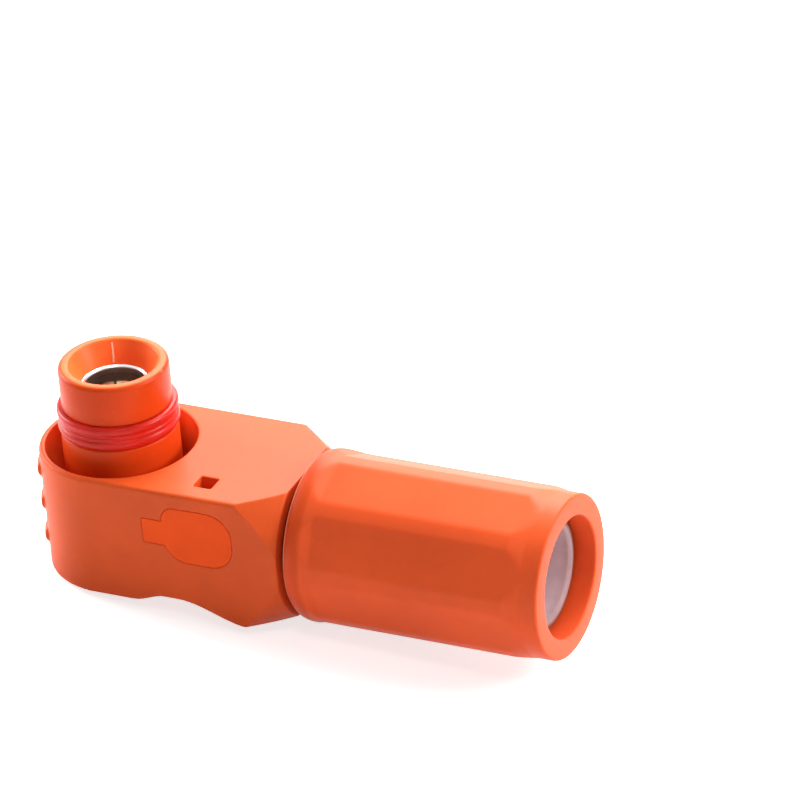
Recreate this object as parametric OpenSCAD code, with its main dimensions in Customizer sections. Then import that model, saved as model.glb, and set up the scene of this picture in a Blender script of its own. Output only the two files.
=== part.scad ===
// Right-angle plug for battery cables. The mating nose points up along Z,
// the cable leaves along X, and the release button is on the +Y side.
// The origin is on the nose axis, at the underside of the round end.

/* [Housing] */
// Width of the body across its two side faces
housing_w = 32.3; // [32:0.1:33]
// Height of the top face above the base
housing_h = 25.5; // [25.2:0.1:26]
// Distance from the nose axis to the corners where the neck taper starts
corner_x = 31.5; // [31:0.1:32.5]
// Distance from the nose axis to the end face behind the cable nut
neck_x = 39.9; // [39.2:0.1:40.2]
// Radius of the tapered neck at that end face
neck_end_r = 16.3; // [15.4:0.1:16.7]
// How far the underside of the neck drops below the base
heel_drop = 2.1; // [1.8:0.1:2.3]
// Height of the finger arch in the underside
arch_h = 1.75; // [1:0.05:2.2]
// Rounding of the long outer edges
edge_r = 0.8; // [0.4:0.1:1.2]
// Thickness of the wall between the bowl and the round end
bowl_wall = 1.25; // [1.1:0.05:1.6]
// Depth of the seat for the nose, below the floor of the bowl
foot_h = 3.2; // [2.8:0.1:3.6]
// Side of the square latch window in the top face
window_w = 3.8; // [3:0.1:4.2]
// Distance of the window from the nose axis, across the body
window_y = 10; // [9.8:0.1:10.2]

/* [Grip ribs] */
// Number of ribs round the end
rib_count = 3; // [1:1:3]
// Height of the lowest rib above the base
rib_z = 6.2; // [5:0.1:7]
// Distance between ribs
rib_pitch = 7.4; // [6:0.1:7.6]
// Height of one rib where it leaves the wall
rib_w = 3.4; // [2.4:0.1:3.8]
// How far a rib stands out of the wall
rib_proud = 0.7; // [0.4:0.1:1]
// Half of the angle that a rib spans
rib_angle = 34; // [24:1:38]

/* [Release button] */
// Radius of the button
button_r = 4.4; // [4:0.1:4.6]
// Distance of the button axis from the nose axis
button_x = 23.2; // [23:0.1:23.5]
// Height of the button axis
button_z = 16.9; // [16.8:0.05:17]
// How far the button stands out of the side face at rest
button_proud = 0.9; // [0.4:0.1:1.2]
// Depth of the finger recess round the button
recess_depth = 3.5; // [3.2:0.1:3.6]
// Radius of the round ends of the recess
recess_r = 8.1; // [7.5:0.1:8.2]
// Distance between the centres of those ends
recess_span = 4.9; // [4:0.1:5.2]
// Travel of the button
button_travel = 2.8; // [2.4:0.1:2.8]

/* [Side cover] */
// Half height of the bottle-shaped cover
cover_r = 5.95; // [5.9:0.05:6.05]
// Height of the cover axis above the base
cover_z = 16.35; // [16.3:0.05:16.4]
// Distance from the nose axis to the body of the cover
cover_x0 = 15.95; // [15.8:0.05:16]
// Distance from the nose axis to its round end
cover_x1 = 30.7; // [30.5:0.1:30.9]
// Rounding of its corners
cover_corner_r = 5; // [4.8:0.1:5.2]
// Rounding of the upper corner next to the cover's neck
cover_shoulder_r = 3; // [2.8:0.1:4]
// Half height of the cover's neck
cover_neck_h = 2.67; // [2.6:0.01:2.8]
// How far the neck's end lies inside the radius of the bowl
cover_neck_reach = 3.3; // [3.1:0.05:3.4]
// Thickness of the cover
cover_t = 1.55; // [1.2:0.05:1.6]

/* [Nose] */
// Height of the nose tip above the base
nose_top = 42.7; // [42:0.1:44]
// Outer radius of the nose above the seal
nose_r = 10.8; // [10.6:0.05:11]
// Outer radius of the nose below the seal
nose_base_r = 11.45; // [11.3:0.05:11.6]
// Radius of the funnel at the tip
funnel_r = 8.8; // [8.4:0.1:9.2]
// Depth of the funnel down to the contact
funnel_depth = 4.4; // [4:0.1:5]
// Height of the lower edge of the seal
seal_z = 29.3; // [28.5:0.1:30]
// Height of the seal
seal_h = 5; // [4.4:0.1:5.4]
// Radius over the two lips of the seal
seal_r = 11.9; // [11.6:0.05:12.1]

/* [Contact] */
// Outer radius of the contact socket
socket_r = 6.65; // [6.5:0.05:6.8]
// Radius of its bore
socket_bore_r = 5.9; // [5.8:0.05:6]
// Radius of the pin that the contact takes
pin_r = 4; // [3.9:0.05:4.1]
// Number of strips in the crown spring
strip_count = 12; // [10:1:14]
// Width of the slots between the strips
strip_gap = 0.5; // [0.4:0.05:0.7]
// Radius of the screw that holds the socket
screw_r = 2.5; // [2.4:0.1:2.5]

/* [Crimp terminal] */
// Outer radius of the crimp barrel
barrel_r = 6.2; // [6:0.05:6.2]
// Radius of its bore for the wire
crimp_r = 4.9; // [4.6:0.1:5]
// Distance from the nose axis to the end of the barrel
barrel_end_x = 46; // [45:0.5:48]
// Depth of the bore
crimp_depth = 24; // [20:0.5:26]
// Radius of the round eye under the socket
eye_r = 8.2; // [8:0.05:8.2]
// Thickness of the eye
eye_t = 4.4; // [4:0.1:4.5]

/* [Neck and cable nut] */
// Radius over the neck thread
thread_r = 12.9; // [12.7:0.05:13]
// Distance from the nose axis to the end of the threaded neck
thread_end_x = 57; // [56:0.5:58]
// Radius of the bore in the neck
neck_bore_r = 10.4; // [10.3:0.05:10.5]
// Distance from the nose axis to the front of the nut
nut_x = 41.1; // [41.1:0.1:42]
// Length of the nut
nut_len = 52.9; // [52:0.1:56]
// Number of flats
nut_flats = 8; // [6:1:10]
// Distance of a flat from the nut's axis
nut_flat_r = 16.15; // [15.8:0.05:16.3]
// Radius over the turned corners
nut_corner_r = 16.9; // [16.7:0.05:17.1]
// Radius of the front edge
nut_front_r = 15.9; // [15.6:0.05:16]
// Radius of the round collar at the rear
nut_collar_r = 16.1; // [15.6:0.05:16.1]
// Angle that the nut is turned by at rest
nut_turn = 4.5; // [0:0.5:22.5]
// Radius of the cable opening
nut_mouth_r = 11.9; // [11.8:0.05:12.2]
// Length of that opening
nut_mouth_len = 8.3; // [8:0.1:9]
// Travel of the nut in two turns of its thread
nut_travel = 3; // [2:0.5:3]

/* [Cable gland] */
// Radius of the hole for the cable
cable_r = 7.6; // [7:0.1:8]
// Outer radius of the sleeve between the claws
sleeve_r = 11; // [10.8:0.05:11.1]
// Radius of the lip that shows in the mouth of the nut
gland_lip_r = 11.4; // [11.2:0.05:11.5]
// Depth of that lip behind the end face of the nut
gland_lip_depth = 4.1; // [3.6:0.1:5]
// Number of claws
claw_count = 8; // [6:1:10]
// Width of the slots between the claws
claw_gap = 1.6; // [1.2:0.1:2.4]

/* [Hidden] */
$fn = 96;
cut = 0.1;              // a cutter runs this far past the face that it opens
weld = 1;               // forms of one solid run this far into each other
fit = 0.05;             // radial clearance of a running fit
slack = 0.15;           // clearance of a loose fit
seat = 0.02;            // gap where one piece rests on another
half_w = housing_w / 2;
axis_z = (housing_h - heel_drop) / 2;   // axis of the cable and of the nut
neck_half_h = (housing_h + heel_drop) / 2;
bowl_r = half_w - bowl_wall;
cover_neck_x = bowl_r - cover_neck_reach;
// Underside: flat under the round end, raised for the fingers, then down to the heel
arch_foot_x = 8;
arch_top_x0 = 15;
arch_top_x1 = 17.5;
heel_x = 33.5;
under_steps = 12;
rib_end_room = 0.25;
// Chamber of the latch, one ledge smaller than its cover
ledge = 0.8;
cover_inner_y = -half_w + cover_t;
floor_y = half_w - recess_depth;
floor_t = 1.8;
// Tube inside the body that keeps the conductor apart from the latch
tube_x = 16.4;
tube_end_x = 33;
tube_bore_r = barrel_r + slack;
tube_wall = 0.9;
tube_r = tube_bore_r + tube_wall;
// Latch
leg_t = 1.7;
leg_y = -tube_r - 2 * slack - leg_t;
bridge_w = 5.9;
bridge_gap = 0.2;
bridge_z0 = axis_z + tube_r + bridge_gap;
bridge_z1 = cover_z + cover_r - ledge - slack;
far_leg_z = 17;
tooth_w = 2.4;
tooth_reach = 1.3;      // how far the tooth's corner reaches into the bowl
tooth_x = cover_neck_x + ledge + slack;
tooth_y = -sqrt(pow(bowl_r - tooth_reach, 2) - pow(tooth_x, 2));
window_tooth_w = 2.4;
window_tooth_gap = 2.6; // how far the small tooth stays below the top face
button_flange_w = 0.6;
button_play = 0.3;
button_flange_r = button_r + button_flange_w;
button_hole_r = button_r + button_play;
flange_t = 0.5;
far_leg_y = floor_y - floor_t - slack - flange_t - seat - leg_t;
key_w = 1.2;
key_h = 0.5;
key_gap = 1.5;          // how far the key stays below the top of the button
spring_r = 3.1;
spring_wire = 0.5;
spring_turns = 4;
boss_r = 2.4;
boss_h = 1;
// Contact stack
eye_z = axis_z - barrel_r;
socket_z = eye_z + eye_t;
socket_floor_t = 4.3;
socket_top = nose_top - funnel_depth;
plain_washer_z = socket_z + socket_floor_t + seat;
plain_washer_t = 0.8;
plain_washer_r = 4.9;
washer_z = plain_washer_z + plain_washer_t + seat;
washer_t = 0.9;
head_z = washer_z + washer_t + seat;
head_h = 3.5;
head_r = 4.25;
hex_r = 1.75;
hex_depth = 2.5;
foot_gap = 0.5;         // from the underside of the eye to the end of the screw
screw_play = 0.25;
socket_lip_h = 1.6;     // plain mouth of the bore, above the groove for the crown spring
crown_groove = 0.2;
crown_gap = 1;
crown_z = head_z + head_h + crown_gap;
crown_h = socket_top - socket_lip_h - crown_z;
crown_t = 0.22;
crown_band_h = 1.3;
crown_waist_h = 3;
crown_steps = 4;
// Nose foot, which sits in the floor of the bowl
foot_step = 1.05;
foot_r = nose_base_r - foot_step;
foot_lift = 0.4;        // from the seat of the socket to the foot of the nose
foot_z = socket_z + foot_lift;
bowl_z = foot_z + foot_h;
foot_oring_d = 1.2;
foot_groove_z = foot_z + foot_h / 2;
bead_h = 0.8;
bead_out = 0.25;
seal_depth = 1;
seal_valley = 0.6;      // depth of the valley between the lips of the seal
// Cable nut and gland
nut_end_x = nut_x + nut_len;
thread_play = 0.08;
nut_bore_r = thread_r + thread_play;
shoulder_x = nut_end_x - nut_mouth_len;
nut_edge = 0.4;
nut_brow_len = 2.5;     // rounded front, up to the full radius
nut_brow_steps = 6;
flats_x = nut_x + nut_edge + nut_brow_len;
flats_ramp = 2.9;       // slope from the full radius down to the flats
flats_ramp_r = nut_corner_r + fit;
collar_rear_len = 4.6;
corner_ramp_rear = 0.4;
slip_t = 1.2;
slip_x = shoulder_x - slip_t - seat;
claw_flange_t = 1.5;
claw_foot_len = 6;
claw_end_x = slip_x - seat;
claw_step = 0.4;
claw_taper = 0.6;
claw_r = thread_r - claw_step;
claw_tip_r = claw_r - claw_taper;
finger_gap = 2;         // from the inside of the claws' flange to the first slot
claw_tip_len = 6;
oring_d = nut_x - neck_x - 2 * seat;
gland_front_r = 9;
gland_front_out = 1;
gland_front_x = thread_end_x - claw_foot_len - gland_front_out;
gland_end_x = nut_end_x - gland_lip_depth;
gland_lip_gap = 0.4;
gland_lip_len = gland_end_x - shoulder_x - gland_lip_gap;
gland_funnel_len = 11;
gland_mouth_r = 10.1;

// Height of the underside at a distance x from the nose axis
function ease(t) = (1 - cos(180 * t)) / 2;
function under_z(x) =
    x <= arch_foot_x ? 0
    : x < arch_top_x0 ? arch_h * ease((x - arch_foot_x) / (arch_top_x0 - arch_foot_x))
    : x <= arch_top_x1 ? arch_h
    : x < heel_x ? arch_h - (arch_h + heel_drop) * ease((x - arch_top_x1) / (heel_x - arch_top_x1))
    : -heel_drop;

// A cylinder, cone or tube along X, with its axis at the height of the cable
module along_x(x0, x1, r, r2 = -1) {
    translate([x0, 0, axis_z]) rotate([0, 90, 0]) cylinder(h = x1 - x0, r1 = r, r2 = r2 < 0 ? r : r2);
}

module ring_x(x0, x1, outer, inner) {
    difference() {
        along_x(x0, x1, outer);
        along_x(x0 - cut, x1 + cut, inner);
    }
}

// A ring of revolution round the cable axis, from points [radius, x]
module turned_x(points) {
    translate([0, 0, axis_z]) rotate([0, 90, 0]) rotate_extrude() polygon(points);
}

// A flat shape in X and Z, extruded from y0 to y1
module across(y0, y1) {
    translate([0, y1, 0]) rotate([90, 0, 0]) linear_extrude(y1 - y0) children();
}

// A quarter of the cover's outline, with its corner rounded
module quarter(side_x, side_z, r, inset) {
    mid_x = (cover_x0 + cover_x1) / 2;
    half_len = (cover_x1 - cover_x0) / 2;
    corner_x = half_len - r;
    corner_z = cover_r - r;
    translate([mid_x, cover_z]) scale([side_x, side_z]) {
        square([half_len - inset, corner_z]);
        square([corner_x, cover_r - inset]);
        translate([corner_x, corner_z]) circle(r = r - inset);
    }
}

// Outline of the body of the side cover
module cover_body(inset) {
    quarter(-1, 1, cover_shoulder_r, inset);
    quarter(-1, -1, cover_corner_r, inset);
    quarter(1, 1, cover_corner_r, inset);
    quarter(1, -1, cover_corner_r, inset);
}

// The same with its neck towards the bowl
module bottle(inset) {
    cover_body(inset);
    translate([cover_neck_x + inset, cover_z - cover_neck_h + inset])
        square([cover_x0 + cover_corner_r - cover_neck_x - inset, 2 * (cover_neck_h - inset)]);
}

module stadium(r, span) {
    for (side = [-1, 1])
        translate([side * span / 2, 0]) circle(r = r);
    translate([-span / 2, -r]) square([span, 2 * r]);
}

// A disc with its upper edge rounded
module round_top(r, top, low) {
    rotate_extrude() {
        translate([0, low]) square([r, top - edge_r - low]);
        translate([0, low]) square([r - edge_r, top - low]);
        translate([r - edge_r, top - edge_r]) circle(r = edge_r, $fn = 24);
    }
}

// The straight part of the body, seen from its end
module body_section(low) {
    translate([-half_w, low]) square([housing_w, housing_h - edge_r - low]);
    translate([-half_w + edge_r, low]) square([housing_w - 2 * edge_r, housing_h - low]);
    for (side = [-1, 1])
        translate([side * (half_w - edge_r), housing_h - edge_r]) circle(r = edge_r, $fn = 24);
}

// Everything above the underside, seen from the side
module side_profile() {
    rise = [for (i = [0:under_steps]) arch_foot_x + i * (arch_top_x0 - arch_foot_x) / under_steps];
    fall = [for (i = [0:under_steps]) arch_top_x1 + i * (heel_x - arch_top_x1) / under_steps];
    low_points = [for (x = concat(rise, fall)) [x, under_z(x)]];
    polygon(concat([[-housing_w, 0]], low_points,
                   [[neck_x, -heel_drop], [neck_x, housing_h + cut], [-housing_w, housing_h + cut]]));
}

module body_shape() {
    intersection() {
        union() {
            round_top(half_w, housing_h, 0);
            rotate([90, 0, 90]) linear_extrude(neck_x) body_section(-heel_drop);
        }
        across(-half_w - cut, half_w + cut) side_profile();
        // The taper cuts the four long corners off as they near the nut
        union() {
            along_x(-housing_w, corner_x, norm([half_w, neck_half_h]));
            along_x(corner_x, neck_x, norm([half_w, neck_half_h]), neck_end_r);
        }
    }
}

// One grip rib: the back part of a ring round the nose axis, with rounded ends
module rib() {
    tube = (pow(rib_w / 2, 2) + pow(rib_proud, 2)) / (2 * rib_proud);
    proud_r = half_w + rib_proud;
    end_r = rib_w / 2 + rib_end_room;
    end_y = proud_r * sin(rib_angle) - end_r;
    intersection() {
        rotate_extrude() translate([proud_r - tube, 0]) circle(r = tube, $fn = 32);
        rotate([90, 0, 90]) translate([0, 0, -housing_w]) linear_extrude(housing_w - arch_foot_x) {
            square([2 * end_y, 2 * end_r], center = true);
            for (side = [-1, 1])
                translate([side * end_y, 0]) circle(r = end_r, $fn = 48);
        }
    }
}

module conductor_way() {
    along_x(tube_x, tube_end_x + cut, tube_bore_r);
    along_x(tube_end_x, thread_end_x + cut, neck_bore_r);
    // Slot through which the eye of the terminal slides in
    way_z = eye_z - bridge_gap;
    way_h = eye_t + 2 * bridge_gap;
    translate([0, 0, way_z]) cylinder(h = way_h, r = eye_r + slack);
    translate([0, -eye_r - slack, way_z]) cube([tube_end_x + cut, 2 * (eye_r + slack), way_h]);
}

module latch_chamber() {
    difference() {
        union() {
            across(cover_inner_y - cut, floor_y - floor_t) cover_body(ledge);
            across(cover_inner_y - cut, leg_y + leg_t + slack) bottle(ledge);
        }
        along_x(tube_x - tube_wall, tube_end_x, tube_r);
    }
    // Slot for the tooth, open to the bowl
    across(cover_inner_y - cut, tooth_y + slack)
        translate([cover_neck_x + ledge, cover_z - cover_neck_h + ledge])
            square([tooth_w + 2 * slack, 2 * (cover_neck_h - ledge)]);
    // Room for the flange of the button
    across(tube_r + fit, floor_y - floor_t) translate([button_x, button_z])
        circle(r = button_flange_r + slack);
}

module housing() {
    color("#D8562C") difference() {
        union() {
            difference() {
                union() {
                    body_shape();
                    for (i = [0:rib_count - 1])
                        translate([0, 0, rib_z + i * rib_pitch]) rib();
                }
                translate([0, 0, bowl_z]) cylinder(h = housing_h, r = bowl_r);
            }
            along_x(neck_x - weld, thread_end_x, thread_r);
        }
        // Seat of the nose foot in the floor of the bowl
        translate([0, 0, foot_z - bridge_gap]) cylinder(h = housing_h, r = foot_r + fit);
        translate([0, 0, foot_z - bridge_gap])
            cylinder(h = bead_h + 2 * bridge_gap, r = foot_r + bead_out + fit);
        conductor_way();
        latch_chamber();
        // Seat of the side cover
        across(-half_w - cut, cover_inner_y) bottle(0);
        // Finger recess and the hole for the button
        across(floor_y, half_w + cut) translate([button_x, button_z]) stadium(recess_r, recess_span);
        across(floor_y - floor_t - cut, floor_y + cut) translate([button_x, button_z]) {
            circle(r = button_hole_r);
            translate([-button_hole_r - key_h, -key_w / 2 - slack])
                square([button_hole_r, key_w + 2 * slack]);
        }
        // Latch window in the top face
        translate([button_x - window_w / 2, -window_y - window_w / 2, cover_z])
            cube([window_w, window_w, housing_h]);
    }
}

module side_cover() {
    color("#E8531F") {
        across(-half_w, cover_inner_y - seat) bottle(fit);
        across(-half_w, cover_inner_y + boss_h) translate([button_x, cover_z]) circle(r = boss_r);
    }
}

module release_button() {
    low_y = far_leg_y + leg_t + seat;
    top_y = half_w + button_proud;
    round_r = 0.5;
    color("#E05A30") {
        translate([button_x, 0, button_z]) rotate([-90, 0, 0]) rotate_extrude() {
            translate([0, low_y]) square([button_r, top_y - round_r - low_y]);
            translate([0, top_y - 2 * round_r]) square([button_r - round_r, 2 * round_r]);
            translate([button_r - round_r, top_y - round_r]) circle(r = round_r);
            translate([0, low_y]) square([button_flange_r, flange_t]);
        }
        across(low_y, top_y - key_gap) translate([button_x, button_z])
            translate([-button_r - key_h, -key_w / 2]) square([button_r, key_w]);
    }
}

module lock_slide() {
    leg_inset = ledge + slack;
    lead_in_w = 2;
    window_tooth_y = button_travel - window_y - window_w / 2 + slack;
    color("#D8562C") difference() {
        union() {
            across(leg_y, leg_y + leg_t) bottle(leg_inset);
            // Tooth that reaches into the bowl
            across(leg_y, tooth_y)
                translate([tooth_x, cover_z - cover_neck_h + leg_inset])
                    square([tooth_w, 2 * (cover_neck_h - leg_inset)]);
            // Bridge over the conductor tube and the leg behind the button
            translate([button_x - bridge_w / 2, leg_y, bridge_z0])
                cube([bridge_w, far_leg_y + leg_t - leg_y, bridge_z1 - bridge_z0]);
            translate([button_x - bridge_w / 2, far_leg_y, far_leg_z])
                cube([bridge_w, leg_t, bridge_z1 - far_leg_z]);
            // Small tooth that runs in the window and keeps the slide in
            translate([button_x - window_tooth_w / 2, window_tooth_y, bridge_z0])
                cube([window_tooth_w, window_w - button_travel - 2 * slack,
                      housing_h - window_tooth_gap - bridge_z0]);
            across(leg_y - boss_h, leg_y + cut) translate([button_x, cover_z]) circle(r = boss_r);
        }
        // Lead-in on top of the tooth, which the mating collar pushes aside
        translate([0, tooth_y, cover_z + cover_neck_h - leg_inset]) rotate([45, 0, 0])
            cube([2 * tooth_w + 2 * cover_neck_x, lead_in_w, lead_in_w], center = true);
    }
}

// One coil spring along Y, swept with an eight-sided wire
module lock_spring() {
    sides = 8;
    ring_count = 20 * spring_turns;
    y0 = cover_inner_y + spring_wire / 2 + seat;
    y1 = leg_y - spring_wire / 2 - seat;
    centres = [for (i = [0:ring_count]) let (a = 360 * spring_turns * i / ring_count)
        [spring_r * cos(a), y0 + (y1 - y0) * i / ring_count, spring_r * sin(a)]];
    points = [for (i = [0:ring_count]) let (a = 360 * spring_turns * i / ring_count)
        for (k = [0:sides - 1]) let (b = 360 * k / sides)
            centres[i] + spring_wire / 2 * [cos(b) * cos(a), sin(b), cos(b) * sin(a)]];
    skin = [for (i = [0:ring_count - 1]) for (k = [0:sides - 1]) let (n = (k + 1) % sides)
        [i * sides + k, i * sides + n, (i + 1) * sides + n, (i + 1) * sides + k]];
    first = [for (k = [sides - 1:-1:0]) k];
    last = [for (k = [0:sides - 1]) ring_count * sides + k];
    color("silver") translate([button_x, 0, cover_z]) polyhedron(points, concat([first], skin, [last]));
}

module nose() {
    rim_r = 1.1;
    lip_r = 0.4;
    color("#E04E1C") difference() {
        rotate_extrude() {
            translate([0, foot_z]) square([foot_r, bowl_z - foot_z + weld]);
            translate([0, foot_z]) square([foot_r + bead_out, bead_h]);
            translate([0, bowl_z + seat]) square([nose_base_r, seal_z - bowl_z - seat]);
            translate([0, seal_z - seal_depth]) square([nose_r - seal_depth, seal_h + 2 * seal_depth]);
            translate([0, seal_z + seal_h]) square([nose_r, nose_top - rim_r - seal_z - seal_h]);
            translate([0, seal_z + seal_h]) square([nose_r - rim_r, nose_top - seal_z - seal_h]);
            translate([nose_r - rim_r, nose_top - rim_r]) circle(r = rim_r);
        }
        // Bore for the contact, and the funnel above it
        translate([0, 0, foot_z - cut]) cylinder(h = nose_top, r = socket_r + fit);
        translate([0, 0, socket_top])
            cylinder(h = funnel_depth + cut / 4, r1 = socket_r + slack, r2 = funnel_r);
        // Groove of the small ring seal in the foot
        translate([0, 0, foot_groove_z - foot_oring_d / 2]) difference() {
            cylinder(h = foot_oring_d, r = foot_r + cut);
            translate([0, 0, -cut]) cylinder(h = foot_oring_d + 2 * cut, r = foot_r - foot_oring_d);
        }
        // Eased inner edge of the tip
        translate([0, 0, nose_top - lip_r])
            cylinder(h = lip_r + cut, r1 = funnel_r - lip_r / 2, r2 = funnel_r + lip_r);
    }
}

// Two round lips on a band that fills the groove of the nose
module nose_seal() {
    lip = 1;
    groove_r = nose_r - seal_depth;
    color("#D02A30") rotate_extrude() difference() {
        union() {
            translate([groove_r + seat, seal_z + seat])
                square([seal_r - lip - groove_r - seat, seal_h - 2 * seat]);
            translate([groove_r + seat, seal_z + lip])
                square([seal_r - seal_valley - groove_r - seat, seal_h - 2 * lip]);
            for (z = [seal_z + lip + seat, seal_z + seal_h - lip - seat])
                translate([seal_r - lip, z]) circle(r = lip, $fn = 48);
        }
        square([groove_r + seat, nose_top]);
    }
}

module nose_oring() {
    color("#303030") rotate_extrude()
        translate([foot_r - foot_oring_d / 2 - seat, foot_groove_z])
            circle(d = foot_oring_d - 2 * seat, $fn = 48);
}

module contact_socket() {
    bevel = 0.5;
    color("#D9D9DC") difference() {
        translate([0, 0, socket_z + seat]) cylinder(h = socket_top - socket_z - seat, r = socket_r);
        translate([0, 0, socket_z + socket_floor_t]) cylinder(h = socket_top, r = socket_bore_r);
        translate([0, 0, crown_z - seat]) cylinder(h = crown_h + 2 * seat, r = socket_bore_r + crown_groove);
        translate([0, 0, socket_z - cut]) cylinder(h = housing_h, r = screw_r + screw_play);
        translate([0, 0, socket_top - bevel])
            cylinder(h = bevel + cut / 10, r1 = socket_bore_r, r2 = socket_bore_r + bevel);
    }
}

// Contact cage: two bands joined by strips that bow inwards onto the pin
module crown_spring() {
    band_r = socket_bore_r + crown_groove - fit;
    mid = crown_h / 2;
    bow = (crown_h - 2 * crown_band_h - crown_waist_h) / 2;
    rise = band_r - crown_t - pin_r;
    function inner(z) =
        pin_r + rise * ease(max(0, min(1, (abs(z - mid) - crown_waist_h / 2) / bow)));
    curve = [for (i = [0:crown_steps]) crown_band_h + bow * i / crown_steps];
    back = [for (i = [0:crown_steps]) crown_h - crown_band_h - bow + bow * i / crown_steps];
    heights = concat([0], curve, back, [crown_h]);
    inside = [for (z = heights) [inner(z), z]];
    outside = [for (i = [len(heights) - 1:-1:0]) [inner(heights[i]) + crown_t, heights[i]]];
    color("#C8A860") translate([0, 0, crown_z]) difference() {
        rotate_extrude() polygon(concat(inside, outside));
        for (i = [0:strip_count - 1])
            rotate([0, 0, 360 * i / strip_count]) translate([0, -strip_gap / 2, crown_band_h])
                cube([socket_r, strip_gap, crown_h - 2 * crown_band_h]);
    }
}

module terminal_screw() {
    color("silver") difference() {
        union() {
            translate([0, 0, head_z]) cylinder(h = head_h, r = head_r);
            translate([0, 0, eye_z + foot_gap]) cylinder(h = head_z - eye_z, r = screw_r);
        }
        translate([0, 0, head_z + head_h - hex_depth]) cylinder(h = head_h, r = hex_r, $fn = 6);
    }
}

module plain_washer() {
    color("silver") translate([0, 0, plain_washer_z]) difference() {
        cylinder(h = plain_washer_t, r = plain_washer_r);
        translate([0, 0, -cut]) cylinder(h = plain_washer_t + 2 * cut, r = screw_r + slack);
    }
}

module spring_washer() {
    split_w = 0.8;
    color("silver") translate([0, 0, washer_z]) difference() {
        cylinder(h = washer_t, r = head_r);
        translate([0, 0, -cut]) cylinder(h = washer_t + 2 * cut, r = screw_r + slack);
        translate([0, -split_w / 2, -cut]) cube([2 * head_r, split_w, washer_t + 2 * cut]);
    }
}

module crimp_terminal() {
    neck_len = 3;
    bevel = 1;
    mouth_len = 0.6;
    mouth_flare = 0.7;
    barrel_x = tube_x + slack;
    color("#D0CFCB") difference() {
        union() {
            translate([0, 0, eye_z]) cylinder(h = eye_t, r = eye_r);
            translate([0, -barrel_r, eye_z]) cube([barrel_x + neck_len, 2 * barrel_r, eye_t]);
            along_x(barrel_x, barrel_x + bevel, barrel_r - bevel, barrel_r);
            along_x(barrel_x + bevel, barrel_end_x, barrel_r);
        }
        along_x(barrel_end_x - crimp_depth, barrel_end_x + cut, crimp_r);
        along_x(barrel_end_x - mouth_len, barrel_end_x + cut, crimp_r, crimp_r + mouth_flare);
        translate([0, 0, eye_z - cut]) cylinder(h = eye_t + 2 * cut, r = screw_r + fit);
    }
}

module neck_oring() {
    color("#8C1810") translate([neck_x + oring_d / 2 + seat, 0, axis_z]) rotate([0, 90, 0])
        rotate_extrude() translate([thread_r + oring_d / 2 + seat, 0]) circle(d = oring_d, $fn = 48);
}

// A prism or pyramid along X with the nut's flats, from one inner radius to another
module flats(x0, x1, inner0, inner1) {
    round_up = 1 / cos(180 / nut_flats);
    translate([x0, 0, axis_z]) rotate([-nut_turn, 0, 0]) rotate([0, 90, 0])
        cylinder(h = x1 - x0, r1 = inner0 * round_up, r2 = inner1 * round_up, $fn = nut_flats);
}

module cable_nut() {
    front = nut_x;
    back = nut_end_x;
    brow = [for (i = [0:nut_brow_steps]) let (a = 90 * i / nut_brow_steps)
        [nut_front_r + (nut_corner_r - nut_front_r) * sin(a),
         front + nut_edge + nut_brow_len * (1 - cos(a))]];
    color("#F06A3C") difference() {
        intersection() {
            union() {
                along_x(front - cut, flats_x + cut, 2 * nut_corner_r);
                flats(flats_x, flats_x + flats_ramp, flats_ramp_r, nut_flat_r);
                flats(flats_x + flats_ramp, back + cut, nut_flat_r, nut_flat_r);
            }
            turned_x(concat([[0, front], [nut_front_r - nut_edge, front]], brow,
                            [[nut_corner_r, back - collar_rear_len - corner_ramp_rear],
                             [nut_collar_r, back - collar_rear_len], [nut_collar_r, back - nut_edge],
                             [nut_collar_r - nut_edge, back], [0, back]]));
        }
        along_x(front - cut, shoulder_x, nut_bore_r);
        along_x(front - cut, back + cut, nut_mouth_r);
        along_x(back - nut_edge, back + cut / 4, nut_mouth_r, nut_mouth_r + nut_edge);
    }
}

module slip_washer() {
    color("#E8E4DC") ring_x(slip_x, slip_x + slip_t, nut_bore_r - slack, gland_lip_r + 2 * slack);
}

module gland_claws() {
    finger_x = thread_end_x + claw_flange_t + finger_gap;
    color("#40404A") difference() {
        union() {
            along_x(thread_end_x - claw_foot_len, thread_end_x + weld, neck_bore_r - 2 * fit);
            along_x(thread_end_x + seat, claw_end_x - claw_tip_len, claw_r);
            along_x(claw_end_x - claw_tip_len, claw_end_x, claw_r, claw_tip_r);
        }
        along_x(thread_end_x - claw_foot_len - cut, finger_x, gland_front_r + fit);
        along_x(thread_end_x + claw_flange_t, claw_end_x + cut, sleeve_r + fit);
        for (i = [0:claw_count / 2 - 1])
            translate([finger_x, 0, axis_z]) rotate([360 * (i + 0.5) / claw_count, 0, 0])
                translate([0, -thread_r, -claw_gap / 2]) cube([nut_len, 2 * thread_r, claw_gap]);
    }
}

module gland_seal() {
    sleeve_x = thread_end_x + claw_flange_t + seat;
    lip_x = gland_end_x - gland_lip_len;
    bead_r = 0.5;
    color("#D8CCD8", 0.6) difference() {
        union() {
            along_x(gland_front_x, sleeve_x + weld, gland_front_r);
            along_x(sleeve_x, lip_x + weld, sleeve_r);
            along_x(lip_x, gland_end_x, gland_lip_r);
        }
        along_x(gland_front_x - cut, gland_end_x + cut, cable_r);
        along_x(gland_end_x - gland_funnel_len, gland_end_x + cut / 4, cable_r, gland_mouth_r);
        // Eased edge inside the lip
        along_x(gland_end_x - bead_r, gland_end_x + cut / 4,
                gland_mouth_r - bead_r / 4, gland_mouth_r + bead_r);
    }
}

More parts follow.
